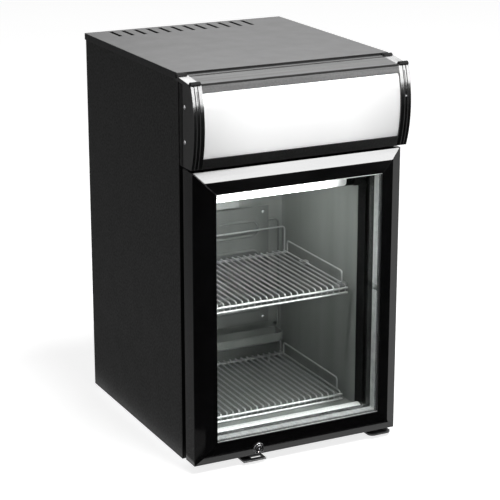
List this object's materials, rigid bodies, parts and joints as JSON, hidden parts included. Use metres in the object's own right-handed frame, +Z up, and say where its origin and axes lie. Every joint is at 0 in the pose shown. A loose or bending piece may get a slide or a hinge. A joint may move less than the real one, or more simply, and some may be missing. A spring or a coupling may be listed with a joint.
{
  "type": "refrigerated bar cabinet",
  "caption": "Counter-top refrigerated bar cabinet with a bevelled glass door, a lit curved canopy, wire shelves, a cold plate and a key lock.",
  "frame": {"origin": "on the counter, under the middle of the overall box", "axes": "+Z up, +Y to the rear, +X to the right as seen by someone facing the door"},
  "size_m": [0.413, 0.4824, 0.7],
  "materials": {
    "black_sheet": "semi-gloss black powder coat",
    "grey_sheet": "plain galvanised grey",
    "black_plastic": "gloss black",
    "dark_plastic": "matt black",
    "grey_plastic": "fine satin grey",
    "sign_white": "translucent white",
    "lamp_white": "opal white",
    "aluminium": "mill finish, softly reflecting",
    "glass": "clear",
    "wire": "bright plated wire",
    "bright_metal": "polished",
    "rubber": "matt",
    "foam": "raw foam",
    "copper": "dull copper"
  },
  "bodies": {
    "cabinet": {"base_pan": "grey_sheet", "canopy_bottom_strip": "black_plastic", "canopy_cap_left": "black_plastic", "canopy_cap_right": "black_plastic", "canopy_lamp": "lamp_white", "canopy_screws": "bright_metal", "canopy_top_strip": "black_plastic", "canopy_tray": "dark_plastic", "compressor": "black_sheet", "compressor_mounts": "rubber", "condenser": "black_sheet", "cord_gland": "dark_plastic", "discharge_line": "copper", "drip_gutter": "grey_plastic", "evaporator_brackets": "aluminium", "evaporator_plate": "aluminium", "feet": "rubber", "filter_drier": "copper", "front_fascia": "black_sheet", "front_header": "dark_plastic", "front_post_left": "dark_plastic", "front_post_right": "dark_plastic", "front_sill": "dark_plastic", "hinge_bushes": "dark_plastic", "insulation": "foam", "lamp_diffuser": "lamp_white", "lamp_driver": "dark_plastic", "lamp_housing": "dark_plastic", "left_side_panel": "black_sheet", "liner": "aluminium", "lock_strike": "black_sheet", "lower_hinge": "black_sheet", "machine_deck": "grey_sheet", "rear_cover": "grey_sheet", "rear_panel": "grey_sheet", "right_side_panel": "black_sheet", "shelf_clips": "grey_plastic", "sign_panel": "sign_white", "sill_plate": "aluminium", "suction_line": "copper", "terminal_cover": "dark_plastic", "thermostat_box": "grey_plastic", "top_cover": "black_sheet", "upper_hinge": "black_sheet"},
    "door": {"door_top_rail": "black_plastic", "door_bottom_rail": "black_plastic", "door_left_stile": "black_plastic", "door_right_stile": "black_plastic", "outer_pane": "glass", "inner_pane": "glass", "pane_spacer": "aluminium", "door_gasket": "rubber", "lock_housing": "bright_metal"},
    "lock": {"lock_plug": "bright_metal", "lock_cam": "bright_metal"},
    "knob": {"thermostat_knob": "grey_plastic"},
    "upper_shelf": {"upper_shelf_grid": "wire", "upper_shelf_fence": "wire"},
    "lower_shelf": {"lower_shelf_grid": "wire", "lower_shelf_fence": "wire"}
  },
  "joints": [
    {"name": "door_swing", "type": "hinge", "parent": "cabinet", "child": "door", "pos_m": [0.188, -0.20075, 0.017], "axis": [0, 0, 1], "range_deg": [0, 110]},
    {"name": "lock_turn", "type": "hinge", "parent": "door", "child": "lock", "pos_m": [-0.08, -0.22925, 0.032], "axis": [0, 1, 0], "range_deg": [0, 90]},
    {"name": "knob_turn", "type": "hinge", "parent": "cabinet", "child": "knob", "pos_m": [-0.024, 0.12175, 0.387], "axis": [0, 1, 0], "range_deg": [0, 270]},
    {"name": "upper_shelf_slide", "type": "slide", "parent": "cabinet", "child": "upper_shelf", "axis": [0, -1, 0], "range_m": [0, 0.05]},
    {"name": "lower_shelf_slide", "type": "slide", "parent": "cabinet", "child": "lower_shelf", "axis": [0, -1, 0], "range_m": [0, 0.024]}
  ]
}
